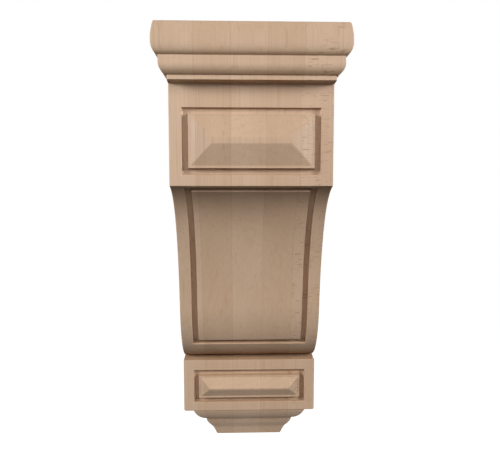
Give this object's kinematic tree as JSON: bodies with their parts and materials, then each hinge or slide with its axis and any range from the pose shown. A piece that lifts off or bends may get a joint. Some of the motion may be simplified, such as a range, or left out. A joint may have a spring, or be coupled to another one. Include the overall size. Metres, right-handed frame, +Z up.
{
  "type": "corbel",
  "caption": "Carved wooden wall corbel with a moulded crown, raised panels, a long sweep that rolls under, and a stepped foot.",
  "frame": {"origin": "middle of the flat back face, half way up and on the centre line", "axes": "+Z up, +Y into the wall, the carved front faces -Y, +X across the width"},
  "size_m": [0.147, 0.1744, 0.375],
  "materials": {
    "maple": "sanded bare maple, unvarnished"
  },
  "bodies": {
    "root": {"corbel": "maple"}
  },
  "joints": []
}
